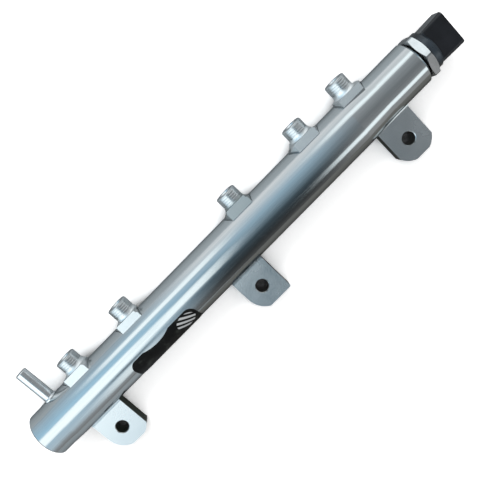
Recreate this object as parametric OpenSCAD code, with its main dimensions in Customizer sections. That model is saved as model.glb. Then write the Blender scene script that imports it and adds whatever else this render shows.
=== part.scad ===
// Common-rail fuel rail of a four-cylinder diesel engine.
// A forged tube carries five port nipples on one side and three bolt ears on
// the other. A pressure sensor is screwed into one end. A pressure relief valve
// sits inside the other end, and its return stub leaves beside the ports.
//
// X runs along the rail from the valve to the sensor, Y points to the ports and
// Z away from the seating face. The origin is the middle ear's bolt hole, at
// the seating face. All sizes are in millimetres.

/* [Rail] */
// Length of the forging between its two end faces
rail_len = 322; // [310:1:380]
// Diameter of the forged tube
tube_d = 32; // [31:0.5:34]
// Diameter of the turned land at the valve's end
valve_land_d = 31; // [29:0.25:31]
// Diameter of the turned land at the sensor's end
sensor_land_d = 29.5; // [29:0.25:31]
// Length of the turned land at the valve's end
valve_land = 9; // [6:0.5:14]
// Length of the turned land at the sensor's end
sensor_land = 29; // [18:0.5:31]
// Diameter of the pressure chamber that runs along the rail
chamber_d = 10; // [8:0.5:11]

/* [Ports] */
// Distance of the first port from the valve's end face
port_1 = 45.5; // [44:0.5:60]
// Distance of the second port from the valve's end face
port_2 = 92; // [80:0.5:120]
// Distance of the third port past the middle ear's bolt hole
port_3 = 26; // [0:0.5:40]
// Distance of the fourth port from the sensor's end face
port_4 = 78.5; // [72:0.25:90]
// Distance of the fifth port from the sensor's end face
port_5 = 42.25; // [38:0.25:50]
// Outer diameter of the nipple's thread
nipple_d = 14; // [12:0.5:16]
// Distance of the nipple's tip from the rail's axis
nipple_reach = 27; // [25:0.5:34]
// Diameter of the drilling from the nipple to the chamber
port_drill_d = 3; // [2:0.25:4]
// Mouth of the cone that the fuel line's head seals in
port_cone_d = 8; // [6.5:0.25:8.5]
// Diameter of the throttle insert pressed into the nipple
insert_d = 4.5; // [3.5:0.25:5.5]
// Length of the throttle insert
insert_len = 6; // [4:0.5:9]
// Diameter of the throttle's hole
throttle_d = 0.9; // [0.6:0.05:1.4]

/* [Ears] */
// Distance of the first ear's bolt hole from the valve's end face
ear_first = 31.5; // [28:0.5:40]
// Distance of the last ear's bolt hole from the sensor's end face
ear_last = 30.5; // [28:0.5:40]
// Distance of the bolt holes from the rail's axis
ear_reach = 33; // [30:0.5:42]
// Width of an ear along the rail
ear_w = 25.5; // [22:0.5:28]
// Thickness of an ear
ear_t = 9; // [7:0.5:11]
// Radius of the ear's rounded end
ear_end_r = 14.5; // [14:0.25:17]
// Distance of the ear's tip from its bolt hole
ear_tip = 13.5; // [11:0.25:14]
// Diameter of the bolt holes
bolt_hole_d = 8.5; // [6.5:0.25:9]

/* [Return stub] */
// Distance of the return stub from the valve's end face
stub_x = 20; // [19:0.25:22]
// Outer diameter of the return stub
stub_d = 8; // [7:0.25:9]
// Wall of the return stub
stub_wall = 1.5; // [1:0.25:2]
// Distance of the stub's open end from the rail's axis
stub_reach = 40; // [32:0.5:60]

/* [Relief valve] */
// Diameter of the bore that holds the valve
valve_bore_d = 16; // [15:0.25:16.75]
// Pitch diameter of the valve's and the sensor's thread
end_thread_d = 17.2; // [17:0.1:18]
// Length of the valve's thread
valve_thread_len = 10.5; // [9:0.5:11]
// Depth of the valve's outer face below the rail's end face
valve_recess = 1.5; // [0.5:0.25:3]
// Thickness of the valve's seat
seat_t = 5; // [4:0.25:6]
// Diameter of the hole that the plunger closes
seat_hole_d = 2; // [1.5:0.1:2.6]
// Diameter of the plunger's guide
guide_d = 9; // [8.5:0.25:9.5]
// Distance that the plunger lifts off its seat
relief_lift = 0.8; // [0.4:0.1:1.5]
// Diameter of the relief spring's wire
wire_d = 1.3; // [1:0.05:1.4]
// Width across the flats of the key socket
key_af = 8; // [7:0.5:9]

/* [Sensor] */
// Width of the sensor's hexagon across its flats
hex_af = 27; // [25:0.5:29]
// Thickness of the hexagon
hex_t = 5.5; // [4.5:0.5:9]
// Gap between the rail's end face and the hexagon
hex_gap = 1.3; // [0.8:0.1:3]
// Length of the sensor's thread
sensor_thread_len = 13; // [11:0.5:14]
// Diameter of the connector's round collar
collar_d = 26; // [25:0.5:27]
// Width of the connector at its collar
plug_w = 22; // [20.5:0.5:23]
// Width of the connector at its mouth
plug_mouth_w = 23.5; // [22:0.5:25]
// Height of the connector
plug_h = 14.5; // [13:0.5:16]
// Length of the connector from the hexagon to its mouth
plug_len = 21; // [20:0.5:28]

/* [Label] */
// Distance of the label from the valve's end face
label_x = 72.5; // [60:0.5:80]
// Length of the label along the rail
label_len = 53; // [30:0.5:56]
// Height of the label around the tube
label_h = 17; // [12:0.5:20]
// Thickness of the label
label_t = 0.2; // [0.1:0.05:0.4]

/* [Fits] */
// Radial clearance of a screwed or slipped-in piece
slip_gap = 0.05; // [0.03:0.01:0.1]
// Radial clearance of the plunger in its guide
guide_gap = 0.04; // [0.02:0.01:0.08]
// Width of the small chamfers
chamfer = 1; // [0.5:0.1:1.2]

/* [Hidden] */

steel = [0.72, 0.76, 0.79];
dark_steel = [0.55, 0.58, 0.6];
brass = [0.8, 0.66, 0.35];
black_plastic = [0.12, 0.12, 0.13];
seal_green = [0.1, 0.35, 0.25];
board_green = [0.1, 0.4, 0.2];
label_black = [0.05, 0.05, 0.05];

$fn = 96;
skin = 0.01;
cut = 1;
tube_r = tube_d / 2;
valve_land_r = valve_land_d / 2;
sensor_land_r = sensor_land_d / 2;
chamber_r = chamber_d / 2;
valve_ramp_len = 10;
sensor_ramp_len = 22;

// Ears
ear_x = [ear_first, (ear_first + rail_len - ear_last) / 2, rail_len - ear_last];
ear_round = [ear_end_r, ear_end_r + 1.5, ear_end_r];
ear_skew = [1.75, 3.25, 0.5];
ear_root_r = [tube_r, tube_r, sensor_land_r];
ear_fillet = 4;
ear_gusset = 3;
ear_under = 5;
ear_top = ear_t - tube_r;
axis_height = tube_r;

// Ports: the forging's pads and the nipples' roots differ from port to port
port_x = [port_1, port_2, ear_x[1] + port_3, rail_len - port_4, rail_len - port_5];
nipple_r = nipple_d / 2;
tip_chamfer = 0.5;
root_r = [4.5, 3.5, 4, 5, 3.75];
sweep_left = [6, 5, 5, 6, 1];
sweep_right = [3, 1, 3, 4, 1];
pad_margin = [0, 0, 0, 0, 2.75];
pad_rise = [2, 2, 3.5, 2.5, 1.4];
pad_half_h = tube_r * 5 / 8;
pad_end_half_h = tube_r / 5;
pad_under_half = nipple_r * 0.3;
pad_flat = 1;
foot_overlap = 0.3;
insert_r = insert_d / 2;
insert_sink = 2.5;
insert_lip = 0.8;
insert_funnel = 2;
cone_r = port_cone_d / 2;
cone_depth = (cone_r - insert_r) / tan(30);
insert_out = nipple_reach - cone_depth - insert_sink;
insert_in = insert_out - insert_len;

// Return stub
stub_r = stub_d / 2;
stub_foot = valve_bore_d / 2 + 2.5;
stub_step = 0.5;
braze_r = stub_r + 0.8;
braze_depth = 1;
braze_rise = 0.9;

// Relief valve, from the rail's end face inwards
valve_r = valve_bore_d / 2 - slip_gap;
thread_r = end_thread_d / 2;
thread_end = valve_recess + valve_thread_len;
seal_section = 2;
seal_x = thread_end + seal_section;
groove_half = seal_section * 0.6;
neck_r = valve_r - 2;
neck_half = stub_r - 0.8;
drain_d = 3;
key_depth = 6;
guide_r = guide_d / 2;
guide_floor = valve_recess + key_depth + 2;
shim_t = 1.2;
spring_from = guide_floor + shim_t;
spring_len = 14.3;
spring_to = spring_from + spring_len;
plunger_guide_len = 6.5;
plunger_flat = guide_r * 0.82;
plunger_neck = 0.6;
seat_hole_r = seat_hole_d / 2;
tip_len = 5.2;
tip_base_r = tip_len * tan(30);
tip_end = spring_to + plunger_guide_len + plunger_neck + tip_len;
seat_edge = tip_end - seat_hole_r / tan(30);
seat_sink = 1.6;
seat_from = seat_edge - seat_sink;
seat_to = seat_from + seat_t;
spigot_r = guide_r / 2 - slip_gap;
spring_mean_r = (spigot_r + guide_r - guide_gap) / 2;
spring_turns = 6;

// Sensor, from the rail's sensor-end face outwards
sensor_bite = 19;
nose_r = chamber_r + 1.6;
nose_gap = 0.4;
nose_seat = 2.5;
nose_bevel = 0.6;
thread_relief = 0.3;
hex_corner_r = hex_af / cos(30) / 2;
hex_bevel = 0.3;
hex_from = rail_len + hex_gap;
hex_to = hex_from + hex_t;
cell_floor = hex_to - 3.6;
cell_r = collar_d / 2 - 2;
ring_section = 1.2;
spigot_from = cell_floor + ring_section;
pedestal = 1;
diaphragm_r = 4;
diaphragm_wall = 1.2;
diaphragm_t = 0.5;
diaphragm_base = 1;
diaphragm_to = cell_floor + 6;
passage_r = 1.5;
carrier_r = cell_r - ring_section - slip_gap;
carrier_to = diaphragm_to + 0.5;
carrier_gap = 0.6;
board_t = 1.2;
board_inset = 0.4;
board_to = carrier_to + board_t;
collar_to = board_to + 1.2;
collar_bevel = 0.4;
collar_round = 1.6;
shell_floor = board_to + 1.2;
socket_from = shell_floor + 2.8;
mouth = hex_to + plug_len;
plug_wall = 2.2;
plug_edge_r = 2.5;
blade_w = 1.5;
blade_t = 0.8;
blade_pitch = 5;
blade_to = mouth - 5;

// Label
label_turn = 43;
label_corner_r = 5;
label_dip = 2;
label_dip_r = 30;
label_dip_x = 23;

// Puts a piece that is drawn about the rail's axis, from the valve's end face, in its place
module in_place() translate([-ear_x[1], ear_reach, axis_height]) children();

// Turned piece about the rail's axis, from points given as [place along the rail, radius]
module turned(points)
    rotate([0, 90, 0])
        rotate_extrude()
            polygon([for (p = points) [p[1], p[0]]]);

// Rod about the rail's axis
module rod(from, to, r)
    translate([from, 0, 0])
        rotate([0, 90, 0])
            cylinder(r = r, h = to - from);

// Cone about the rail's axis
module cone(from, to, r_from, r_to)
    translate([from, 0, 0])
        rotate([0, 90, 0])
            cylinder(r1 = r_from, r2 = r_to, h = to - from);

// Hexagonal rod about the rail's axis
module hexagon(from, to, across_flats)
    translate([from, 0, 0])
        rotate([0, 90, 0])
            cylinder(d = across_flats / cos(30), h = to - from, $fn = 6);

// Turns a shape drawn upwards so that it points to the ports
module to_ports() rotate([-90, 0, 0]) children();

// Outside of the forged and turned tube
module tube_outside()
    turned([
        [0, 0], [0, valve_land_r - chamfer], [chamfer, valve_land_r],
        [valve_land, valve_land_r], [valve_land + valve_ramp_len, tube_r],
        [rail_len - sensor_land - sensor_ramp_len, tube_r],
        [rail_len - sensor_land, sensor_land_r],
        [rail_len - chamfer, sensor_land_r], [rail_len, sensor_land_r - chamfer],
        [rail_len, 0]
    ]);

// Threaded nipple of one port; its concave root goes on into a foot inside the pad
module nipple(i) {
    root_top = tube_r + root_r[i];
    foot = tube_r + pad_rise[i] - foot_overlap;
    foot_r = nipple_r + root_r[i] - sqrt(pow(root_r[i], 2) - pow(root_top - foot, 2));
    translate([port_x[i], 0, 0])
        to_ports()
            rotate_extrude()
                difference() {
                    polygon([
                        [0, 0], [foot_r, 0], [foot_r, root_top], [nipple_r, root_top],
                        [nipple_r, nipple_reach - tip_chamfer],
                        [nipple_r - tip_chamfer, nipple_reach], [0, nipple_reach]
                    ]);
                    translate([nipple_r + root_r[i], root_top]) circle(root_r[i]);
                }
}

// One end of a pad seen from above: a concave sweep from its face down to the tube
module pad_sweep(half_len, face, sweep_r)
    difference() {
        square([half_len + sweep_r, min(face, tube_r + sweep_r)]);
        translate([half_len + sweep_r, tube_r + sweep_r]) circle(sweep_r);
    }

// Forged pad under a nipple: flat on top, swept and narrowed at both ends and more so below
module pad(i) {
    half_len = nipple_r + pad_margin[i];
    face = tube_r + pad_rise[i];
    left = half_len + sweep_left[i];
    right = half_len + sweep_right[i];
    flat_left = min(left, nipple_r + pad_flat);
    flat_right = min(right, nipple_r + pad_flat);
    translate([port_x[i], 0, 0])
        intersection() {
            translate([0, 0, -pad_half_h])
                linear_extrude(2 * pad_half_h) {
                    translate([-half_len, 0]) square([2 * half_len, face]);
                    pad_sweep(half_len, face, sweep_right[i]);
                    mirror([1, 0]) pad_sweep(half_len, face, sweep_left[i]);
                }
            rotate([-90, 0, 0])
                linear_extrude(tube_d)
                    polygon([
                        [-left, -pad_end_half_h], [-flat_left, -pad_half_h - skin],
                        [flat_right, -pad_half_h - skin], [right, -pad_end_half_h],
                        [right, 0], [pad_under_half, pad_half_h + skin],
                        [-pad_under_half, pad_half_h + skin], [-left, 0]
                    ]);
        }
}

// Drilling of one port: the sealing cone, the seat of the throttle insert and the way in
module port_drilling(x)
    translate([x, 0, 0])
        to_ports() {
            cylinder(d = port_drill_d, h = nipple_reach);
            translate([0, 0, insert_in]) cylinder(r = insert_r, h = nipple_reach);
            translate([0, 0, nipple_reach - cone_depth])
                cylinder(r1 = insert_r, r2 = cone_r, h = cone_depth);
            translate([0, 0, nipple_reach - skin]) cylinder(r = cone_r, h = cut);
        }

// Outline of an ear seen from above, about its bolt hole, with a fillet at each side's root
module ear_outline(i) {
    intersection() {
        translate([-ear_w / 2, -ear_tip]) square([ear_w, ear_tip + skin]);
        translate([min(ear_skew[i], ear_round[i] - ear_w / 2), 0]) circle(ear_round[i]);
    }
    translate([-ear_w / 2, 0]) square([ear_w, ear_reach + ear_under]);
    for (side = [0, 1])
        mirror([side, 0])
            translate([ear_w / 2, ear_reach - tube_r])
                difference() {
                    translate([-skin, -ear_gusset])
                        square([skin + ear_gusset, ear_gusset + tube_r / 2]);
                    translate([ear_gusset, -ear_gusset]) circle(ear_gusset);
                }
}

// Section of an ear across the rail, with a fillet between its top and the tube
module ear_section(root_r) {
    fillet_y = sqrt(pow(root_r + ear_fillet, 2) - pow(ear_top + ear_fillet, 2));
    translate([-ear_reach - ear_tip - cut, -tube_r])
        square([ear_reach + ear_tip + cut + ear_under, ear_t]);
    difference() {
        polygon([
            [-fillet_y, ear_top], [-fillet_y, ear_top + ear_fillet], [0, 0], [0, ear_top]
        ]);
        translate([-fillet_y, ear_top + ear_fillet]) circle(ear_fillet);
    }
}

// One bolt ear of the forging
module ear(i)
    translate([ear_x[i], 0, 0])
        intersection() {
            translate([0, -ear_reach, -tube_r])
                linear_extrude(tube_d) ear_outline(i);
            rotate([90, 0, 90])
                translate([0, 0, -ear_w])
                    linear_extrude(2 * ear_w) ear_section(ear_root_r[i]);
        }

// Bolt hole of one ear, chamfered on both faces
module ear_hole(i)
    translate([ear_x[i], -ear_reach, -tube_r]) {
        translate([0, 0, -cut]) cylinder(d = bolt_hole_d, h = ear_t + 2 * cut);
        translate([0, 0, -skin])
            cylinder(d1 = bolt_hole_d + chamfer, d2 = bolt_hole_d, h = chamfer / 2);
        translate([0, 0, ear_t - chamfer / 2 + skin])
            cylinder(d1 = bolt_hole_d, d2 = bolt_hole_d + chamfer, h = chamfer / 2);
    }

// Bores for the valve and the sensor, and the pressure chamber between them
module end_bores() {
    rod(seat_to - cut, rail_len - sensor_bite + cut, chamber_r);
    rod(thread_end, seat_to, valve_bore_d / 2);
    rod(-cut, thread_end + skin, thread_r);
    cone(-skin, chamfer, thread_r + chamfer, thread_r);
    rod(rail_len - sensor_bite, rail_len, nose_r + nose_gap);
    rod(rail_len - sensor_bite + nose_seat, rail_len, thread_r + thread_relief);
    rod(rail_len - sensor_thread_len - cut, rail_len + cut, thread_r);
    cone(rail_len - chamfer, rail_len + skin, thread_r, thread_r + chamfer);
}

// Hole for the return stub, down to the valve's drain
module stub_hole()
    translate([stub_x, 0, 0])
        to_ports() {
            cylinder(r = stub_r - stub_wall, h = tube_d);
            translate([0, 0, stub_foot]) cylinder(r = stub_r - stub_step, h = tube_d);
            translate([0, 0, tube_r - braze_depth]) cylinder(r = braze_r, h = tube_d);
        }

module rail_body()
    color(steel)
        in_place()
            difference() {
                union() {
                    tube_outside();
                    for (i = [0:4]) nipple(i);
                    for (i = [0:4]) pad(i);
                    for (i = [0:2]) ear(i);
                }
                end_bores();
                stub_hole();
                for (x = port_x) port_drilling(x);
                for (i = [0:2]) ear_hole(i);
            }

// Thin tube with a stepped foot in the rail and a ring of braze round it
module return_stub()
    color(steel)
        in_place()
            translate([stub_x, 0, 0])
                to_ports()
                    rotate_extrude()
                        polygon([
                            [stub_r - stub_wall, stub_foot], [stub_r - stub_step, stub_foot],
                            [stub_r - stub_step, tube_r - braze_depth],
                            [braze_r, tube_r - braze_depth], [braze_r, tube_r],
                            [stub_r, tube_r + braze_rise], [stub_r, stub_reach - stub_step],
                            [stub_r - stub_step, stub_reach], [stub_r - stub_wall, stub_reach]
                        ]);

// Throttle insert of one port: a short plug with a fine hole, open in a cone at each end
module throttle_insert(i)
    color(dark_steel)
        in_place()
            translate([port_x[i], 0, 0])
                to_ports()
                    rotate_extrude()
                        polygon([
                            [throttle_d / 2, insert_in + insert_funnel],
                            [insert_r - insert_lip, insert_in],
                            [insert_r, insert_in], [insert_r, insert_out],
                            [insert_r - insert_lip, insert_out],
                            [throttle_d / 2, insert_out - insert_funnel]
                        ]);

// Screwed-in valve housing: thread, seal groove, drained neck and the nose that holds the seat
module relief_housing()
    color(dark_steel)
        in_place()
            difference() {
                turned([
                    [valve_recess, 0], [valve_recess, thread_r - slip_gap - chamfer],
                    [valve_recess + chamfer, thread_r - slip_gap],
                    [thread_end, thread_r - slip_gap], [thread_end, valve_r],
                    [seal_x - groove_half, valve_r],
                    [seal_x - groove_half, valve_bore_d / 2 - seal_section],
                    [seal_x + groove_half, valve_bore_d / 2 - seal_section],
                    [seal_x + groove_half, valve_r],
                    [stub_x - neck_half, valve_r], [stub_x - neck_half, neck_r],
                    [stub_x + neck_half, neck_r], [stub_x + neck_half, valve_r],
                    [seat_from, valve_r], [seat_from, 0]
                ]);
                hexagon(valve_recess - cut, valve_recess + key_depth, key_af);
                rod(guide_floor, seat_from + cut, guide_r);
                for (turn = [45, 135])
                    rotate([turn, 0, 0])
                        translate([stub_x, 0, -valve_bore_d / 2])
                            cylinder(d = drain_d, h = valve_bore_d);
            }

// Seat with a countersunk hole, clamped between the housing and the chamber's shoulder
module relief_seat()
    color(dark_steel)
        in_place()
            turned([
                [seat_from, valve_r], [seat_from, seat_hole_r + seat_sink],
                [seat_edge, seat_hole_r], [seat_to, seat_hole_r], [seat_to, valve_r]
            ]);

// Plunger: a spigot inside the spring, a flatted guide and a tip that closes the seat
module relief_plunger()
    color(dark_steel)
        in_place()
            difference() {
                turned([
                    [spring_from + relief_lift, 0], [spring_from + relief_lift, spigot_r],
                    [spring_to, spigot_r], [spring_to, guide_r - guide_gap],
                    [spring_to + plunger_guide_len, guide_r - guide_gap],
                    [spring_to + plunger_guide_len, tip_base_r],
                    [tip_end - tip_len, tip_base_r], [tip_end, 0]
                ]);
                for (turn = [0, 120, 240])
                    rotate([turn, 0, 0])
                        translate([spring_to - cut, -guide_d, plunger_flat])
                            cube([plunger_guide_len + 2 * cut, 2 * guide_d, guide_d]);
            }

// Place along the spring's axis after a number of turns: the end turns lie close together
function coil_rise(t) =
    let (
        close = wire_d * 1.1,
        open = (spring_len - wire_d - 2 * close) / (spring_turns - 2)
    )
    t < 1 ? t * close
    : t < spring_turns - 1 ? close + (t - 1) * open
    : close + (spring_turns - 2) * open + (t - spring_turns + 1) * close;

function coil_point(t, side, sides) =
    let (
        around = 360 * side / sides,
        r = spring_mean_r + wire_d / 2 * cos(around)
    )
    [
        spring_from + wire_d / 2 + coil_rise(t) + wire_d / 2 * sin(around),
        r * cos(360 * t), r * sin(360 * t)
    ];

// Round-wire compression spring, swept ring by ring along its helix
module relief_spring() {
    sides = 8;
    steps = 14;
    rings = spring_turns * steps;
    points = [
        for (ring = [0:rings]) for (side = [0:sides - 1])
            coil_point(ring / steps, side, sides)
    ];
    walls = [
        for (ring = [0:rings - 1]) for (side = [0:sides - 1])
            let (next = (side + 1) % sides, a = ring * sides, b = a + sides)
            [a + side, b + side, b + next, a + next]
    ];
    color(steel)
        in_place()
            polyhedron(
                points = points,
                faces = concat(
                    [[for (side = [0:sides - 1]) side]],
                    walls,
                    [[for (side = [sides - 1:-1:0]) rings * sides + side]]
                )
            );
}

module relief_shim()
    color(dark_steel)
        in_place()
            difference() {
                rod(guide_floor, spring_from, guide_r - guide_gap);
                rod(guide_floor - cut, spring_from + cut, spigot_r / 2);
            }

// Round seal ring about the rail's axis
module seal_ring(x, inner_r, section)
    color(seal_green)
        in_place()
            translate([x, 0, 0])
                rotate([0, 90, 0])
                    rotate_extrude()
                        translate([inner_r + section / 2, 0]) circle(d = section, $fn = 32);

module relief_seal_ring()
    seal_ring(seal_x, valve_bore_d / 2 - seal_section, seal_section);

// Sensor's steel body: sealing nose, thread, neck, hexagon and the cell for its electronics
module sensor_body()
    color(steel)
        in_place()
            difference() {
                union() {
                    turned([
                        [rail_len - sensor_bite, 0],
                        [rail_len - sensor_bite, nose_r - nose_bevel],
                        [rail_len - sensor_bite + nose_bevel, nose_r],
                        [rail_len - sensor_thread_len - nose_bevel, nose_r],
                        [rail_len - sensor_thread_len + nose_bevel, thread_r - slip_gap],
                        [rail_len - 2 * nose_bevel, thread_r - slip_gap],
                        [rail_len - nose_bevel, thread_r - nose_bevel],
                        [hex_from + skin, thread_r - nose_bevel], [hex_from + skin, 0]
                    ]);
                    intersection() {
                        hexagon(hex_from, hex_to, hex_af);
                        turned([
                            [hex_from, 0], [hex_from, hex_af / 2 - hex_bevel],
                            [hex_from + chamfer, hex_corner_r - hex_bevel],
                            [hex_to - chamfer, hex_corner_r - hex_bevel],
                            [hex_to, hex_af / 2 - hex_bevel], [hex_to, 0]
                        ]);
                    }
                }
                difference() {
                    rod(cell_floor, hex_to + cut, cell_r);
                    rod(cell_floor - cut, cell_floor + pedestal, diaphragm_r);
                }
                rod(rail_len - sensor_bite - cut, cell_floor + pedestal + cut, passage_r);
            }

// Thin-walled pressure cell, welded over the passage
module sensor_diaphragm()
    color(dark_steel)
        in_place()
            turned([
                [cell_floor + pedestal, passage_r], [cell_floor + pedestal, diaphragm_r],
                [diaphragm_to, diaphragm_r], [diaphragm_to, 0],
                [diaphragm_to - diaphragm_t, 0],
                [diaphragm_to - diaphragm_t, diaphragm_r - diaphragm_wall],
                [cell_floor + pedestal + diaphragm_base, diaphragm_r - diaphragm_wall],
                [cell_floor + pedestal + diaphragm_base, passage_r]
            ]);

module sensor_board()
    color(board_green)
        in_place()
            rod(carrier_to, board_to, carrier_r - board_inset);

module board_carrier()
    color(black_plastic)
        in_place()
            difference() {
                rod(cell_floor, carrier_to, carrier_r);
                rod(cell_floor - cut, carrier_to + cut, diaphragm_r + carrier_gap);
            }

module sensor_seal_ring()
    seal_ring(cell_floor + ring_section / 2, cell_r - slip_gap - ring_section, ring_section);

// Rectangle with round corners, drawn about its centre
module rounded_rect(w, h, r) {
    square([w - 2 * r, h], center = true);
    square([w, h - 2 * r], center = true);
    for (x = [-1, 1]) for (y = [-1, 1])
        translate([x * (w / 2 - r), y * (h / 2 - r)]) circle(r, $fn = 32);
}

// Connector's plan: its sides flare towards the mouth
module plug_plan()
    polygon([
        [collar_to - cut, -plug_w / 2], [mouth, -plug_mouth_w / 2],
        [mouth, plug_mouth_w / 2], [collar_to - cut, plug_w / 2]
    ]);

// Black plastic connector: a spigot in the hexagon, a round collar and the flared socket
module connector_shell()
    color(black_plastic)
        in_place()
            difference() {
                union() {
                    rod(spigot_from, hex_to + skin, cell_r - slip_gap);
                    turned([
                        [hex_to, 0], [hex_to, collar_d / 2 - collar_bevel],
                        [hex_to + collar_bevel, collar_d / 2],
                        [collar_to - collar_round, collar_d / 2],
                        [collar_to, collar_d / 2 - collar_round], [collar_to, 0]
                    ]);
                    intersection() {
                        translate([0, 0, -plug_h / 2]) linear_extrude(plug_h) plug_plan();
                        translate([collar_to - cut, 0, 0])
                            rotate([90, 0, 90])
                                linear_extrude(plug_len)
                                    rounded_rect(plug_mouth_w, plug_h, plug_edge_r);
                    }
                }
                rod(spigot_from - cut, shell_floor, carrier_r + slip_gap);
                translate([socket_from, 0, 0])
                    rotate([90, 0, 90])
                        linear_extrude(plug_len)
                            rounded_rect(
                                plug_w - 2 * plug_wall, plug_h - 2 * plug_wall, plug_edge_r / 2
                            );
                for (i = [-1:1]) blade(i);
            }

// Blade of one terminal, from the board to the socket
module blade(i)
    translate([board_to, i * blade_pitch - blade_w / 2, -blade_t / 2])
        cube([blade_to - board_to, blade_w, blade_t]);

module terminal(i)
    color(brass)
        in_place()
            blade(i);

// Outline of the label, seen square-on: round corners and a shallow dip in the upper edge
module label_outline()
    difference() {
        translate([label_len / 2, label_h / 2])
            rounded_rect(label_len, label_h, label_corner_r);
        translate([label_dip_x, label_h + label_dip_r - label_dip]) circle(label_dip_r);
    }

// Thin label wrapped round the tube's upper flank, on the ears' side
module label()
    color(label_black)
        in_place()
            intersection() {
                difference() {
                    rod(label_x - cut, label_x + label_len + cut, tube_r + label_t);
                    rod(label_x - 2 * cut, label_x + label_len + 2 * cut, tube_r);
                }
                rotate([label_turn, 0, 0])
                    translate([label_x, -label_h / 2, chamfer])
                        linear_extrude(tube_d) label_outline();
            }

rail_body();
return_stub();
for (i = [0:4])
    throttle_insert(i);
relief_housing();
relief_seat();
relief_plunger();
relief_spring();
relief_shim();
relief_seal_ring();
sensor_body();
sensor_diaphragm();
sensor_board();
board_carrier();
sensor_seal_ring();
connector_shell();
for (i = [0:2])
    terminal(i - 1);
label();
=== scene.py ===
"""A common-rail fuel rail: forged and plated steel, with its sensor, stub and label."""
import math

import bmesh
import bpy
from mathutils import Matrix, Vector


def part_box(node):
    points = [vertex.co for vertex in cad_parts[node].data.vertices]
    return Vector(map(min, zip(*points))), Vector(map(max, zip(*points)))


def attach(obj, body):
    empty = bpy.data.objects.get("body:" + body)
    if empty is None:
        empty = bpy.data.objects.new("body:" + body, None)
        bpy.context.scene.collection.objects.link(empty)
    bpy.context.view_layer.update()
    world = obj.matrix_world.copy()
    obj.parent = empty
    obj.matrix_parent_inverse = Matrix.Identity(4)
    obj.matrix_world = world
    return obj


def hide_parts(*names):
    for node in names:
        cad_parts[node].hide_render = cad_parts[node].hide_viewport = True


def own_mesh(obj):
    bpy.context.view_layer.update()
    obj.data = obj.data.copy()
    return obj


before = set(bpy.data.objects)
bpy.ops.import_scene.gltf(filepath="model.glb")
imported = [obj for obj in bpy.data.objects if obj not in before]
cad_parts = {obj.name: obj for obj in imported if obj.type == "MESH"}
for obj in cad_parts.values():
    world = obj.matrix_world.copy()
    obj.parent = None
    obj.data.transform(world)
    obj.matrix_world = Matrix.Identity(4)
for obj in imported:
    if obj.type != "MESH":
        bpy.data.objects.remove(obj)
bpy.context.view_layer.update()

# All lengths are in metres. The rail's axis runs along X at this place, and the tube has this radius
AXIS_Y = 0.033
AXIS_Z = 0.016
TUBE_R = 0.016

# A pair of places is a soft edge: a change begins at the first and ends at the second. This one is
# where the drawn wall's finish gives way to the forging's, out from the rail's axis
WALL_EDGE = (TUBE_R + 0.0004, TUBE_R + 0.0016)

# How often the wall's streaks change along it, for each metre, and round it, for each radian
STREAKS_ALONG = 9.0
STREAKS_AROUND = 7.0

# The pads under the nipples, from the rail's axis: from and to along Y, and the edge of their flat
# top, up along Z and out along Y
PAD_FROM = (0.0105, 0.0115)
PAD_TO = (0.0198, 0.0208)
PAD_TOP = 0.01
PAD_TOP_UP = (PAD_TOP - 0.0004, PAD_TOP - 0.0001)
PAD_TOP_OUT = (0.0126, 0.0131)

# Place along X of the third port, whose pad gets a dimmer painted sheen, and how far from it the pads
# with the brighter painted sheen begin
DIM_SHEEN_PAD_X = 0.026
DIM_SHEEN_PAD_EDGE = (0.015, 0.025)

# The ears: their thickness, where they leave the tube, from the rail's axis along Y, the upper edge
# of their sides, which carry painted shade, and the place along X that has the first ear before it,
# whose sides carry the darkest painted shade
EAR_T = 0.009
EAR_FROM = (-0.0175, -0.0165)
EAR_SIDE_TO = (EAR_T - 0.0006, EAR_T - 0.0003)
FIRST_EAR_BEFORE = (-0.1, -0.09)

# How far round itself a place on the rail looks for the walls of a hole, for the painted shade that
# darkens holes and corners
PAINTED_HOLE_SHADE_REACH = 0.012

# Where the connector's round collar ends along X, and where the painted highlight on its top begins
# along Z
COLLAR_TO = 0.1731
COLLAR_EDGE = (COLLAR_TO - 0.0004, COLLAR_TO + 0.0004)
COLLAR_TOP = (1.3 * AXIS_Z, 1.7 * AXIS_Z)

# The collar's end wall: thickness, radius, how far it stops short of the collar's end, and sides
END_WALL_T = 0.0009
END_WALL_R = 0.0101
END_WALL_INSET = 0.0001
END_WALL_SIDES = 64

# Thread of the nipples: its ridge is a round wire, sunk by this much in the plain wall, and begins
# this far from the tip. The ridge runs out at each end over one of so many parts of its length
NIPPLE_R = 0.007
THREAD_PITCH = 0.0015
THREAD_LEN = 0.0052
THREAD_TIP = 0.0007
THREAD_SUNK = 0.00035
THREAD_RUN_OUTS = 12.0
THREAD_RIDGE_R = 0.00045
THREAD_RIDGE_SIDES = 8
THREAD_STEPS_IN_TURN = 48

# Patch of bars on the label: its place along X and down the tube's flank, its half sizes, the slant
# of its bars, and how close they lie, as radians of a wave for each metre
PATCH_X = -0.0448
PATCH_DOWN = 0.0092
PATCH_HALF_X = 0.0069
PATCH_HALF_DOWN = 0.0052
BAR_SLANT = -1.3
BAR_WAVE = 1170.0

# How close the circuit board's tracks lie, as radians of a wave for each metre
TRACK_WAVE = 2400.0

# The photograph's camera: its place, its turns in degrees, and its film and lens in millimetres
CAMERA_PLACE = (0.0379, 0.1098, 0.3842)
CAMERA_TURNS = (("X", -11.82), ("Y", 3.97), ("Z", -45.48))
FILM_WIDTH = 36.0
LENS = 46.1

# Half width of the floor, how far round itself it looks for the part for the painted shade close
# under it, how pale the camera sees it, and how pale the metal shows it by the ports and by the
# ears, where it is painted darker as shade of the part
FLOOR_HALF = 4.0
FLOOR_PAINTED_SHADE_REACH = 0.02
FLOOR_WHITE = 1.6
FLOOR_IN_METAL_BY_PORTS = (0.5, 0.55, 0.58, 1.0)
FLOOR_IN_METAL_PAINTED_SHADE_BY_EARS = (0.23, 0.23, 0.215, 1.0)

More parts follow.
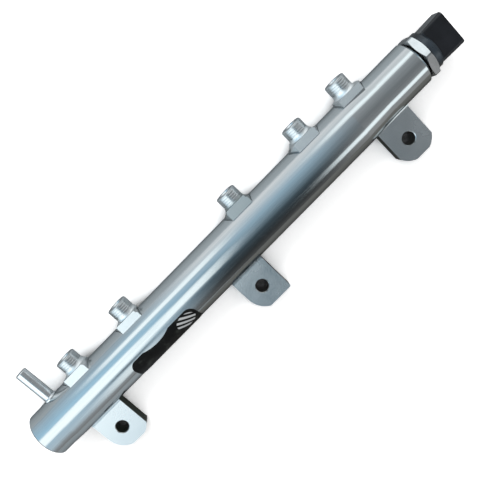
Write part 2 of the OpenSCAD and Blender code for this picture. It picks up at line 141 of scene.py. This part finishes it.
# Where the floor by the ears gives way to that by the ports: along Y, and along X by the valve
PORT_SIDE = (AXIS_Y - 0.03, AXIS_Y + 0.03)
VALVE_END_TO = (-0.12, -0.07)

# How much of the light steel gives back at a glancing angle
EDGE_TINT = 0.4

# Sky round the rail's axis: degrees from overhead towards the ports, brightness and blueness. A
# blueness of 1 changes red, green and blue by these shares
SKY_STRENGTH = 2.0
SKY_BLUE = (-0.4, -0.04, 0.22)
SKY_OVER_VALVE = ((-90, 0.3, 0.0), (-70, 0.4, 0.2), (-50, 0.8, 0.5), (30, 0.85, 1.0), (85, 0.6, 0.5))
SKY_OVER_MIDDLE = ((-90, 0.1, 0.0), (-60, 0.03, 0.5), (-25, 0.09, 0.9), (30, 0.65, 0.8), (80, 1.0, 0.1))
SKY_OVER_SENSOR = ((-90, 0.4, 0.0), (-50, 0.35, 0.1), (-10, 0.24, 0.2), (35, 0.42, 0.2), (80, 1.0, 0.1))

# Where one sky gives way to the next, as the part of a direction that lies along the rail
VALVE_TO_MIDDLE = (-0.3, -0.12)
MIDDLE_TO_SENSOR = (0.08, 0.22)

# Soft strips in that sky: middle and half width in degrees, brightness, and from and to along the
# rail, as parts of a direction too
STRIPS = (
    (1.0, 19.0, 1.65, -1.2, -0.28),
    (2.0, 14.0, 1.6, -0.28, -0.12),
    (53.0, 9.0, 1.55, -0.37, -0.1),
    (53.0, 9.0, 1.5, 0.14, 1.2),
    (-26.0, 5.0, 0.1, -0.37, -0.29),
    (-50.0, 15.0, 1.35, -0.37, -0.29),
    (-53.0, 9.0, 1.5, 0.12, 1.2),
)

# A strip's tint, and how softly it fades on its sides, in degrees, and at its ends
STRIP_TINT = (0.46, 0.5, 0.51)
STRIP_SIDE_FADE = 4.0
STRIP_END_FADE = 0.04


class Nodes:
    """Builds a node tree from top to bottom: a call adds a node and returns one of its outputs."""

    def __init__(self, tree):
        self.tree = tree
        tree.nodes.clear()

    def add(self, kind, inputs=(), out=0, **settings):
        made = self.tree.nodes.new(kind)
        for name, value in settings.items():
            setattr(made, name, value)
        for key, value in dict(inputs).items():
            socket = made.inputs[key]
            if isinstance(value, bpy.types.NodeSocket):
                self.tree.links.new(value, socket)
            else:
                socket.default_value = value
        return made.outputs[out] if made.outputs else made

    def math(self, operation, a, b=0.0, c=0.0):
        return self.add("ShaderNodeMath", {0: a, 1: b, 2: c}, operation=operation)

    def both(self, a, b):
        return self.math("MULTIPLY", a, b)

    def either(self, a, b):
        return self.math("MAXIMUM", a, b)

    def fit(self, value, low, high, to_low=0.0, to_high=1.0):
        """Takes low to high and turns it into to_low to to_high, softly at both ends."""
        numbers = {0: value, 1: low, 2: high, 3: to_low, 4: to_high}
        return self.add("ShaderNodeMapRange", numbers, interpolation_type="SMOOTHSTEP")

    def past(self, value, edge):
        """0 before a soft edge and 1 past it."""
        return self.fit(value, edge[0], edge[1])

    def before(self, value, edge):
        """1 before a soft edge and 0 past it."""
        return self.fit(value, edge[0], edge[1], 1.0, 0.0)

    def mix(self, factor, a, b):
        inputs = {"Factor": factor, 6: a, 7: b}
        return self.add("ShaderNodeMix", inputs, out=2, data_type="RGBA")

    def mix_values(self, factor, a, b):
        return self.add("ShaderNodeMix", {"Factor": factor, 2: a, 3: b}, data_type="FLOAT")

    def join(self, x, y, z):
        return self.add("ShaderNodeCombineXYZ", {0: x, 1: y, 2: z})

    def split(self, vector):
        """The three parts of a vector."""
        parts = self.tree.nodes.new("ShaderNodeSeparateXYZ")
        self.tree.links.new(vector, parts.inputs[0])
        return tuple(parts.outputs)

    def noise(self, place, scale, detail):
        inputs = {"Vector": place, "Scale": scale, "Detail": detail, "Roughness": 0.55}
        return self.add("ShaderNodeTexNoise", inputs)

    def ramp(self, value, stops):
        made = self.tree.nodes.new("ShaderNodeValToRGB")
        band = made.color_ramp
        while len(band.elements) < len(stops):
            band.elements.new(0.5)
        for element, (place, colour) in zip(band.elements, stops):
            element.position = place
            element.color = (*colour, 1.0)
        self.tree.links.new(value, made.inputs[0])
        return made.outputs[0]


def grey(value):
    return (value, value, value, 1.0)


def new_material(name):
    material = bpy.data.materials.new(name)
    material.use_nodes = True
    return material, Nodes(material.node_tree)


def new_object(name, mesh):
    """Object at the origin, with its place in its mesh."""
    made = bpy.data.objects.new(name, mesh)
    bpy.context.scene.collection.objects.link(made)
    return made


def object_place(nodes):
    return nodes.add("ShaderNodeTexCoord", out=3)


def off_axis(nodes, y, z):
    """How far a place lies from the rail's axis, along Y and along Z."""
    return nodes.math("SUBTRACT", y, AXIS_Y), nodes.math("SUBTRACT", z, AXIS_Z)


def openness(nodes, reach, own_mesh_only):
    """How open a place is: 1 on a flat, less in a corner, least in a hole."""
    inputs = {"Distance": reach}
    return nodes.add("ShaderNodeAmbientOcclusion", inputs, out=1, only_local=own_mesh_only)


def finish_material(nodes, colour, roughness, height, bump, **fixed):
    """Principled shader from a colour, a roughness and a bump, whose full height is in metres."""
    normal = nodes.add("ShaderNodeBump", {"Height": height, "Distance": bump, "Strength": 1.0})
    inputs = {"Base Color": colour, "Roughness": roughness, "Normal": normal}
    inputs.update({name.replace("_", " "): value for name, value in fixed.items()})
    shader = nodes.add("ShaderNodeBsdfPrincipled", inputs)
    nodes.add("ShaderNodeOutputMaterial", {"Surface": shader})


def tube_share(nodes, off_y, off_z):
    """1 on the tube's round wall, and 0 on what stands out of it and on the pads' tops."""
    squares = nodes.math("MULTIPLY_ADD", off_y, off_y, nodes.math("MULTIPLY", off_z, off_z))
    by_wall = nodes.before(nodes.math("SQRT", squares), WALL_EDGE)
    off_top = nodes.either(nodes.before(off_z, PAD_TOP_UP), nodes.before(off_y, PAD_TOP_OUT))
    return nodes.both(by_wall, off_top)


def forged_skin_with_painted_light(nodes, shade, on_pad, x, z, off_y):
    """Forging off the tube: painted sheen on the pads, dimmer on one, painted shade on ears' sides."""
    skin = nodes.ramp(shade, [(0.25, (0.64, 0.67, 0.68)), (0.75, (0.74, 0.76, 0.765))])
    # Painted sheen: the pads are painted pale, the third port's pad dimmer
    off_dim_sheen_pad = nodes.math("ABSOLUTE", nodes.math("SUBTRACT", x, DIM_SHEEN_PAD_X))
    pads_with_brighter_painted_sheen = nodes.past(off_dim_sheen_pad, DIM_SHEEN_PAD_EDGE)
    pad_painted_sheen = nodes.mix(pads_with_brighter_painted_sheen, (0.64, 0.68, 0.68, 1.0), (0.95, 0.97, 0.97, 1.0))
    skin = nodes.mix(on_pad, skin, pad_painted_sheen)
    # Painted shade: the ears' sides and undersides are painted dark, the first ear's darkest
    painted_shade_on_ear_sides = nodes.both(nodes.before(off_y, EAR_FROM), nodes.before(z, EAR_SIDE_TO))
    on_first = nodes.before(x, FIRST_EAR_BEFORE)
    side = nodes.mix(on_first, (0.42, 0.43, 0.43, 1.0), (0.15, 0.155, 0.13, 1.0))
    return nodes.mix(painted_shade_on_ear_sides, skin, side)


def plated_steel():
    """Satin plating on a forging: long streaks along the tube, finer grain off it, painted shade in
    holes.
    """
    material, nodes = new_material("plated_steel")
    place = object_place(nodes)
    x, y, z = nodes.split(place)
    off_y, off_z = off_axis(nodes, y, z)
    on_tube = tube_share(nodes, off_y, off_z)
    on_pad = nodes.both(nodes.past(off_y, PAD_FROM), nodes.before(off_y, PAD_TO))
    along = nodes.math("MULTIPLY", x, STREAKS_ALONG)
    around = nodes.math("MULTIPLY", nodes.math("ARCTAN2", off_y, off_z), STREAKS_AROUND)
    streak_place = nodes.join(along, around, 0.0)
    wide = nodes.noise(streak_place, 1.4, 2.0)
    fine = nodes.noise(streak_place, 7.0, 4.0)
    streaks = nodes.math("MULTIPLY_ADD", wide, 0.6, nodes.math("MULTIPLY", fine, 0.4))
    grain = nodes.noise(place, 900.0, 3.0)
    mottle = nodes.noise(place, 60.0, 4.0)
    shade = nodes.mix_values(on_tube, mottle, streaks)
    drawn = nodes.ramp(shade, [(0.25, (0.53, 0.56, 0.57)), (0.75, (0.65, 0.67, 0.675))])
    colour = nodes.mix(on_tube, forged_skin_with_painted_light(nodes, shade, on_pad, x, z, off_y), drawn)
    # Painted shade: the colour goes nearly black in holes and tight corners
    free_of_painted_hole_shade = nodes.fit(openness(nodes, PAINTED_HOLE_SHADE_REACH, True), 0.2, 0.42, 0.05, 1.0)
    colour = nodes.mix(free_of_painted_hole_shade, grey(0.0), colour)
    off_tube = nodes.math("SUBTRACT", 1.0, on_tube)
    rough = nodes.fit(shade, 0.3, 0.7, 0.1, 0.15)
    rough = nodes.math("MULTIPLY_ADD", off_tube, 0.13, rough)
    rough = nodes.math("MULTIPLY_ADD", nodes.both(on_pad, off_tube), 0.16, rough)
    height = nodes.mix_values(on_tube, grain, streaks)
    finish_material(
        nodes, colour, rough, height, 0.00003, Metallic=1.0, Specular_Tint=grey(EDGE_TINT)
    )
    return material


def turned_steel(name, axis, tone, base_rough, edge=EDGE_TINT):
    """Turned steel: fine rings about an axis along X or Y."""
    material, nodes = new_material(name)
    place = object_place(nodes)
    along = nodes.split(place)["XY".index(axis)]
    rings = nodes.noise(nodes.join(along, 0.0, 0.0), 2600.0, 2.0)
    mottle = nodes.noise(place, 120.0, 4.0)
    low = tuple(0.88 * part for part in tone)
    high = tuple(min(1.0, 1.1 * part) for part in tone)
    colour = nodes.ramp(mottle, [(0.3, low), (0.7, high)])
    rough = nodes.fit(rings, 0.3, 0.7, base_rough, base_rough + 0.08)
    finish_material(
        nodes, colour, rough, rings, 0.00001, Metallic=1.0, Specular_Tint=grey(edge)
    )
    return material


def moulded_plastic(name, tone, base_rough):
    """Moulded plastic with a fine spark-eroded grain."""
    material, nodes = new_material(name)
    place = object_place(nodes)
    grain = nodes.noise(place, 2200.0, 3.0)
    cloud = nodes.noise(place, 90.0, 3.0)
    low = tuple(0.75 * part for part in tone)
    high = tuple(1.3 * part for part in tone)
    colour = nodes.ramp(cloud, [(0.3, low), (0.7, high)])
    rough = nodes.fit(cloud, 0.3, 0.7, base_rough, base_rough + 0.1)
    finish_material(nodes, colour, rough, grain, 0.00002, Specular_IOR_Level=0.5)
    return material


def connector_plastic():
    """Black plastic of the connector, with a painted bluish highlight on its round collar's top."""
    material, nodes = new_material("connector_plastic")
    place = object_place(nodes)
    x, _, z = nodes.split(place)
    grain = nodes.noise(place, 2200.0, 3.0)
    cloud = nodes.noise(place, 90.0, 3.0)
    # Painted highlight: a bluish grey on the collar's top
    on_top = nodes.both(nodes.before(x, COLLAR_EDGE), nodes.past(z, COLLAR_TOP))
    painted_collar_highlight = nodes.both(on_top, cloud)
    black = nodes.ramp(cloud, [(0.3, (0.004, 0.005, 0.007)), (0.7, (0.008, 0.009, 0.013))])
    colour = nodes.mix(painted_collar_highlight, black, (0.05, 0.072, 0.095, 1.0))
    rough = nodes.fit(cloud, 0.3, 0.7, 0.26, 0.36)
    finish_material(nodes, colour, rough, grain, 0.00002, Specular_IOR_Level=0.5)
    return material


def label_film():
    """Black film with a patch of pale slanted bars near one end."""
    material, nodes = new_material("label_film")
    place = object_place(nodes)
    x, y, z = nodes.split(place)
    off_y, off_z = off_axis(nodes, y, z)
    down = nodes.math("MULTIPLY", nodes.math("ARCTAN2", off_y, off_z), -TUBE_R)
    off_x = nodes.math("DIVIDE", nodes.math("SUBTRACT", x, PATCH_X), PATCH_HALF_X)
    off_down = nodes.math("DIVIDE", nodes.math("SUBTRACT", down, PATCH_DOWN), PATCH_HALF_DOWN)
    squares = nodes.math("MULTIPLY_ADD", off_x, off_x, nodes.math("MULTIPLY", off_down, off_down))
    in_patch = nodes.math("LESS_THAN", squares, 1.0)
    slant = nodes.math("MULTIPLY_ADD", down, BAR_SLANT, x)
    wave = nodes.math("SINE", nodes.math("MULTIPLY", slant, BAR_WAVE))
    bars = nodes.both(in_patch, nodes.math("GREATER_THAN", wave, 0.0))
    cloud = nodes.noise(place, 300.0, 3.0)
    creases = nodes.noise(nodes.join(x, down, 0.0), 130.0, 4.0)
    film = nodes.ramp(creases, [
        (0.3, (0.002, 0.002, 0.002)), (0.55, (0.005, 0.005, 0.005)), (0.75, (0.03, 0.034, 0.03)),
    ])
    colour = nodes.mix(bars, film, (0.5, 0.52, 0.53, 1.0))
    rough = nodes.fit(cloud, 0.3, 0.7, 0.4, 0.5)
    finish_material(nodes, colour, rough, cloud, 0.000004, Specular_IOR_Level=0.15)
    return material


def circuit_board():
    """Green lacquer with paler tracks."""
    material, nodes = new_material("circuit_board")
    place = object_place(nodes)
    _, y, z = nodes.split(place)
    wave = nodes.math("SINE", nodes.math("MULTIPLY", nodes.math("ADD", y, z), TRACK_WAVE))
    tracks = nodes.math("GREATER_THAN", wave, 0.35)
    cloud = nodes.noise(place, 400.0, 3.0)
    lacquer = nodes.ramp(cloud, [(0.3, (0.01, 0.1, 0.03)), (0.7, (0.015, 0.14, 0.045))])
    colour = nodes.mix(tracks, lacquer, (0.03, 0.22, 0.08, 1.0))
    finish_material(nodes, colour, nodes.fit(cloud, 0.3, 0.7, 0.3, 0.4), tracks, 0.00003)
    return material


def dress(material, *names):
    for name in names:
        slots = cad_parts[name].data.materials
        slots.clear()
        slots.append(material)


def dress_nodes(plating, black_plastic):
    """Gives each solid its finish, except the relief spring, which valve_spring replaces."""
    dress(plating, "rail_body")
    dress(turned_steel("turned_stub", "Y", (0.88, 0.9, 0.91), 0.2, edge=0.02), "return_stub")
    dress(turned_steel("turned_valve", "X", (0.5, 0.51, 0.52), 0.2), "relief_housing")
    dress(turned_steel("turned_sensor", "X", (0.62, 0.63, 0.64), 0.16), "sensor_body")
    inserts = [f"throttle_insert_{number}" for number in range(1, 6)]
    dress(turned_steel("ground_inserts", "Y", (0.4, 0.41, 0.42), 0.2), *inserts)
    ground = turned_steel("ground_steel", "X", (0.42, 0.43, 0.44), 0.15)
    dress(ground, "relief_seat", "relief_plunger", "relief_shim", "sensor_diaphragm")
    rubber = moulded_plastic("seal_rubber", (0.02, 0.022, 0.02), 0.5)
    dress(rubber, "relief_seal_ring", "sensor_seal_ring")
    dress(black_plastic, "connector_shell")
    dress(moulded_plastic("carrier_plastic", (0.03, 0.03, 0.034), 0.45), "board_carrier")
    dress(circuit_board(), "sensor_board")
    blades = [f"terminal_{number}" for number in range(1, 4)]
    dress(turned_steel("tinned_blades", "Y", (0.72, 0.68, 0.56), 0.22), *blades)
    dress(label_film(), "label")


def thread_tree(material):
    """Node tree that winds one ridge of thread and sets it, pointing to +Y, on each given point."""
    tree = bpy.data.node_groups.new("wound_thread", "GeometryNodeTree")
    nodes = Nodes(tree)
    tree.interface.new_socket("Starts", in_out="INPUT", socket_type="NodeSocketGeometry")
    for name in ("Radius", "Pitch", "Length", "Ridge radius"):
        tree.interface.new_socket(name, in_out="INPUT", socket_type="NodeSocketFloat")
    tree.interface.new_socket("Threads", in_out="OUTPUT", socket_type="NodeSocketGeometry")
    given = tree.nodes.new("NodeGroupInput").outputs
    turns = nodes.math("DIVIDE", given["Length"], given["Pitch"])
    helix = nodes.add("GeometryNodeCurveSpiral", {
        "Resolution": THREAD_STEPS_IN_TURN, "Rotations": turns, "Height": given["Length"],
        "Start Radius": given["Radius"], "End Radius": given["Radius"],
    })
    along = nodes.add("GeometryNodeSplineParameter")
    to_end = nodes.math("MINIMUM", along, nodes.math("SUBTRACT", 1.0, along))
    run_out = nodes.math("MINIMUM", nodes.math("MULTIPLY", to_end, THREAD_RUN_OUTS), 1.0)
    helix = nodes.add("GeometryNodeSetCurveRadius", {"Curve": helix, "Radius": run_out})
    section = nodes.add("GeometryNodeCurvePrimitiveCircle", {
        "Resolution": THREAD_RIDGE_SIDES, "Radius": given["Ridge radius"],
    })
    ridge = nodes.add(
        "GeometryNodeCurveToMesh", {"Curve": helix, "Profile Curve": section, "Fill Caps": True}
    )
    ridges = nodes.add("GeometryNodeInstanceOnPoints", {
        "Points": given["Starts"], "Instance": ridge, "Rotation": (-math.pi / 2, 0.0, 0.0),
    })
    ridges = nodes.add("GeometryNodeRealizeInstances", {"Geometry": ridges})
    ridges = nodes.add("GeometryNodeSetMaterial", {"Geometry": ridges, "Material": material})
    nodes.add("NodeGroupOutput", {"Threads": ridges})
    return tree


def make_threads(material):
    """Thread of the five nipples, which stands a little proud of their plain walls."""
    start_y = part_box("rail_body")[1][1] - THREAD_TIP - THREAD_LEN
    starts = []
    for number in range(1, 6):
        low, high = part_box(f"throttle_insert_{number}")
        starts.append(((low[0] + high[0]) / 2, start_y, AXIS_Z))
    mesh = bpy.data.meshes.new("thread_starts")
    mesh.from_pydata(starts, [], [])
    holder = new_object("thread_starts", mesh)
    winding = holder.modifiers.new("wound_thread", "NODES")
    winding.node_group = thread_tree(material)
    sizes = {
        "Radius": NIPPLE_R - THREAD_SUNK, "Pitch": THREAD_PITCH,
        "Length": THREAD_LEN, "Ridge radius": THREAD_RIDGE_R,
    }
    for socket in winding.node_group.interface.items_tree:
        if socket.in_out == "INPUT" and socket.name in sizes:
            winding[socket.identifier] = sizes[socket.name]
    seen = holder.evaluated_get(bpy.context.evaluated_depsgraph_get())
    wound = bpy.data.meshes.new_from_object(seen)
    wound.shade_smooth()
    bpy.data.objects.remove(holder)
    threads = new_object("nipple_threads", wound)
    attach(threads, "rail")


def make_valve_spring():
    """The relief valve's spring, as wound in the solid."""
    shape = bmesh.new()
    shape.from_mesh(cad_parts["relief_spring"].data)
    bmesh.ops.remove_doubles(shape, verts=shape.verts, dist=1e-6)
    mesh = bpy.data.meshes.new("valve_spring")
    shape.to_mesh(mesh)
    shape.free()
    mesh.materials.clear()
    mesh.shade_smooth()
    mesh.materials.append(turned_steel("spring_wire", "X", (0.3, 0.31, 0.33), 0.25))
    spring = new_object("valve_spring", mesh)
    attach(spring, "rail")
    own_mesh(spring)
    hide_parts("relief_spring")


def make_end_wall(material):
    """End wall of the connector's collar, which closes it above and below the socket."""
    wall_x = COLLAR_TO - END_WALL_INSET - END_WALL_T / 2
    place = Matrix.Translation((wall_x, AXIS_Y, AXIS_Z)) @ Matrix.Rotation(math.pi / 2, 4, "Y")
    shape = bmesh.new()
    bmesh.ops.create_cone(
        shape, cap_ends=True, segments=END_WALL_SIDES, radius1=END_WALL_R, radius2=END_WALL_R,
        depth=END_WALL_T, matrix=place
    )
    mesh = bpy.data.meshes.new("connector_end_wall")
    shape.to_mesh(mesh)
    shape.free()
    mesh.materials.append(material)
    wall = new_object("connector_end_wall", mesh)
    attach(wall, "rail")


def pale_floor():
    """White to the camera, with painted shade close under the part; greyer to the metal, with painted
    shade by the ears.
    """
    material, nodes = new_material("pale_floor")
    path = nodes.tree.nodes.new("ShaderNodeLightPath").outputs
    # Painted shade: the floor turns dark close under the part and in the bolt holes
    lit = nodes.fit(openness(nodes, FLOOR_PAINTED_SHADE_REACH, False), 0.2, 0.45, 0.04, 1.0)
    white = nodes.math("MULTIPLY", lit, FLOOR_WHITE)
    x, y, _ = nodes.split(object_place(nodes))
    # Painted shade in the metal: the floor it shows is darker on the ears' side
    by_ports = nodes.either(nodes.past(y, PORT_SIDE), nodes.before(x, VALVE_END_TO))
    in_metal = nodes.mix(by_ports, FLOOR_IN_METAL_PAINTED_SHADE_BY_EARS, FLOOR_IN_METAL_BY_PORTS)
    colour = nodes.mix(path["Is Glossy Ray"], grey(0.7), in_metal)
    seen = nodes.either(path["Is Camera Ray"], path["Is Transmission Ray"])
    colour = nodes.mix(seen, colour, white)
    shader = nodes.add("ShaderNodeBsdfDiffuse", {"Color": colour})
    nodes.add("ShaderNodeOutputMaterial", {"Surface": shader})
    return material


def make_floor():
    """Floor at the height of the ears' seats, which keeps the object's shadow."""
    mesh = bpy.data.meshes.new("floor")
    near, far = -FLOOR_HALF, FLOOR_HALF
    corners = [(near, near, 0), (far, near, 0), (far, far, 0), (near, far, 0)]
    mesh.from_pydata(corners, [], [(0, 1, 2, 3)])
    floor = new_object("floor", mesh)
    mesh.materials.append(pale_floor())


def sky_ramp(nodes, turn, stops):
    """Colour of the sky at a turn about the rail's axis, where 0.5 is overhead."""
    coloured = []
    for degrees, level, blueness in stops:
        tint = [1.0 + share * blueness for share in SKY_BLUE]
        colour = tuple(level / SKY_STRENGTH * part for part in tint)
        coloured.append(((degrees + 180.0) / 360.0, colour))
    return nodes.ramp(turn, coloured)


def add_strip(nodes, sky, angle, along, strip):
    """The sky with one soft strip of light laid over it."""
    centre, half, level, start, end = strip
    off = nodes.math("ABSOLUTE", nodes.math("SUBTRACT", angle, math.radians(centre)))
    side = (math.radians(half - STRIP_SIDE_FADE), math.radians(half + STRIP_SIDE_FADE))
    begun = nodes.past(along, (start - STRIP_END_FADE, start + STRIP_END_FADE))
    not_over = nodes.before(along, (end - STRIP_END_FADE, end + STRIP_END_FADE))
    lit = nodes.both(nodes.before(off, side), nodes.both(begun, not_over))
    return nodes.mix(lit, sky, (*(part * level for part in STRIP_TINT), 1.0))


def make_world():
    """Studio round the part: white to the camera, with soft strips of light in reflections."""
    world = bpy.data.worlds.new("studio")
    bpy.context.scene.world = world
    world.use_nodes = True
    nodes = Nodes(world.node_tree)
    along, across, up = nodes.split(nodes.add("ShaderNodeTexCoord", out=0))
    angle = nodes.math("ARCTAN2", across, up)
    turn = nodes.math("MULTIPLY_ADD", angle, 1.0 / (2.0 * math.pi), 0.5)
    sky = sky_ramp(nodes, turn, SKY_OVER_VALVE)
    sky = nodes.mix(nodes.past(along, VALVE_TO_MIDDLE), sky, sky_ramp(nodes, turn, SKY_OVER_MIDDLE))
    sky = nodes.mix(nodes.past(along, MIDDLE_TO_SENSOR), sky, sky_ramp(nodes, turn, SKY_OVER_SENSOR))
    for strip in STRIPS:
        sky = add_strip(nodes, sky, angle, along, strip)
    path = nodes.tree.nodes.new("ShaderNodeLightPath").outputs
    banded = nodes.add("ShaderNodeBackground", {"Color": sky, "Strength": SKY_STRENGTH})
    plain = nodes.add("ShaderNodeBackground", {"Color": grey(0.75), "Strength": 1.0})
    white = nodes.add("ShaderNodeBackground", {"Color": grey(1.0), "Strength": 1.0})
    light = nodes.add("ShaderNodeMixShader", {0: path["Is Glossy Ray"], 1: plain, 2: banded})
    seen = nodes.either(path["Is Camera Ray"], path["Is Transmission Ray"])
    shown = nodes.add("ShaderNodeMixShader", {0: seen, 1: light, 2: white})
    nodes.add("ShaderNodeOutputWorld", {"Surface": shown})


def make_lamp(name, place, aim, size, watts):
    lamp = bpy.data.lights.new(name, "AREA")
    lamp.shape = "RECTANGLE"
    lamp.size, lamp.size_y = size
    lamp.energy = watts
    holder = bpy.data.objects.new(name, lamp)
    holder.location = place
    holder.rotation_mode = "QUATERNION"
    holder.rotation_quaternion = (Vector(aim) - Vector(place)).to_track_quat("-Z", "Y")
    holder.visible_glossy = False
    bpy.context.scene.collection.objects.link(holder)


def make_camera():
    lens = bpy.data.cameras.new("camera")
    lens.sensor_width = FILM_WIDTH
    lens.lens = LENS
    lens.clip_start = 0.01
    camera = bpy.data.objects.new("camera", lens)
    turn = Matrix.Identity(4)
    for axis, degrees in CAMERA_TURNS:
        turn = turn @ Matrix.Rotation(math.radians(degrees), 4, axis)
    camera.matrix_world = Matrix.Translation(CAMERA_PLACE) @ turn
    bpy.context.scene.collection.objects.link(camera)
    bpy.context.scene.camera = camera


plating = plated_steel()
black_plastic = connector_plastic()
dress_nodes(plating, black_plastic)
make_threads(plating)
make_valve_spring()
make_end_wall(black_plastic)
make_floor()
make_world()
make_lamp("port_side_lamp", place=(0.1, 0.9, 0.8), aim=(0.0, 0.03, 0.0), size=(0.8, 0.5), watts=5.0)
make_camera()
bpy.context.scene.view_settings.view_transform = "Standard"
